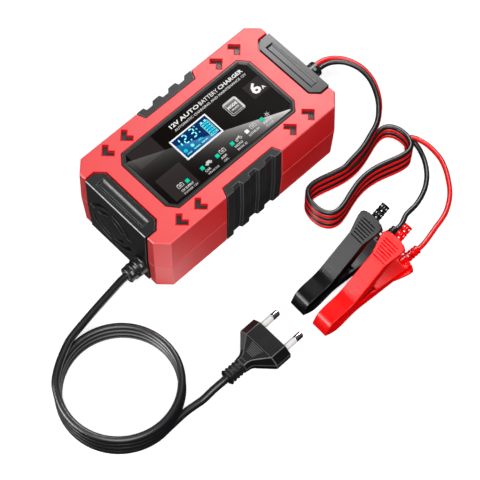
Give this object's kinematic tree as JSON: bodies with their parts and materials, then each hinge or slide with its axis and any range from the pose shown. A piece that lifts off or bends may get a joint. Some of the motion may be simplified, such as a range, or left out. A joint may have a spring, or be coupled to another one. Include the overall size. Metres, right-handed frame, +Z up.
{
  "type": "car battery charger",
  "caption": "Compact automatic car battery charger: red case with angled corners, display panel, fan end, mains lead with flat plug, and coiled clamp leads.",
  "frame": {"origin": "centre of the case's underside, at floor level under its feet", "axes": "+X towards the clamp-lead end of the case, +Z up out of the display panel, -Y the long side beside which the two clamps lie"},
  "size_m": [0.2817, 0.1669, 0.0538],
  "materials": {
    "red_shell": "bright red moulded plastic with a fine grain",
    "black_shell": "dark grey moulded plastic with a fine grain",
    "panel_gloss": "gloss black printed panel",
    "lcd_frame": "pale module frame",
    "lcd_glass": "blue backlit display behind clear glass",
    "button_grey": "satin grey with a silver edge",
    "led_teal": "teal lens",
    "led_white": "white lens",
    "circuit_board": "green circuit board",
    "ferrite": "dark ferrite core with a taped winding",
    "capacitor_sleeve": "dark blue shrink sleeve",
    "alloy": "extruded, satin",
    "copper_wire": "enamelled copper winding",
    "steel": "plated steel",
    "pin_metal": "nickel-plated, bright",
    "sleeve_white": "white insulating sleeve",
    "soft_rubber": "soft black rubber",
    "boot_rubber": "semi-gloss black rubber",
    "plug_black": "moulded black vinyl",
    "gloss_black": "glossy black",
    "gloss_red": "glossy bright red"
  },
  "bodies": {
    "root": {"top_cover": "red_shell", "bottom_cover": "red_shell", "case_screw_1": "steel", "case_screw_2": "steel", "case_screw_3": "steel", "case_screw_4": "steel", "rubber_foot_1": "soft_rubber", "rubber_foot_2": "soft_rubber", "rubber_foot_3": "soft_rubber", "rubber_foot_4": "soft_rubber", "ac_end_cap": "black_shell", "dc_end_cap": "black_shell", "side_grip_front": "black_shell", "side_grip_rear": "black_shell", "front_bezel": "black_shell", "display_panel": "panel_gloss", "lcd_module": "lcd_frame", "lcd_window": "lcd_glass", "led_supply": "led_teal", "led_car": "led_teal", "led_agm": "led_teal", "led_motorcycle": "led_teal", "led_repair": "led_teal", "led_lithium": "led_white", "display_board": "circuit_board", "tact_switch": "black_shell", "main_board": "circuit_board", "transformer": "ferrite", "mains_capacitor": "capacitor_sleeve", "output_capacitor": "capacitor_sleeve", "heatsink": "alloy", "power_transistor": "black_shell", "filter_choke": "copper_wire", "mains_fuse": "steel", "fan_frame": "black_shell", "mains_boot": "boot_rubber", "dc_boot": "boot_rubber", "mains_cord": "gloss_black", "mains_plug": "plug_black", "plug_pin_1": "pin_metal", "pin_sleeve_1": "sleeve_white", "plug_pin_2": "pin_metal", "pin_sleeve_2": "sleeve_white", "negative_lead": "gloss_black", "positive_lead": "gloss_red", "black_lower_handle": "gloss_black", "black_lower_jaw": "steel", "black_pivot_pin": "steel", "black_spring": "steel", "red_lower_handle": "gloss_red", "red_lower_jaw": "steel", "red_pivot_pin": "steel", "red_spring": "steel"},
    "mode_button": {"mode_button": "button_grey"},
    "fan_rotor": {"fan_rotor": "black_shell"},
    "black_upper": {"black_upper_handle": "gloss_black", "black_upper_jaw": "steel"},
    "red_upper": {"red_upper_handle": "gloss_red", "red_upper_jaw": "steel"}
  },
  "joints": [
    {"name": "mode_button_press", "type": "slide", "parent": "root", "child": "mode_button", "axis": [0, 0, -1], "range_m": [0, 0.0006], "stiffness_N_per_m": 300},
    {"name": "fan_spin", "type": "hinge", "parent": "root", "child": "fan_rotor", "pos_m": [-0.0633, 0.005, 0.0259], "axis": [1, 0, 0], "continuous": true},
    {"name": "black_clamp_hinge", "type": "hinge", "parent": "root", "child": "black_upper", "pos_m": [0.00582, -0.10068, 0.01359], "axis": [0.0349, 0.9994, 0], "range_deg": [0, 44]},
    {"name": "red_clamp_hinge", "type": "hinge", "parent": "root", "child": "red_upper", "pos_m": [0.00562, -0.11868, 0.01359], "axis": [0.0349, 0.9994, 0], "range_deg": [0, 44]}
  ]
}
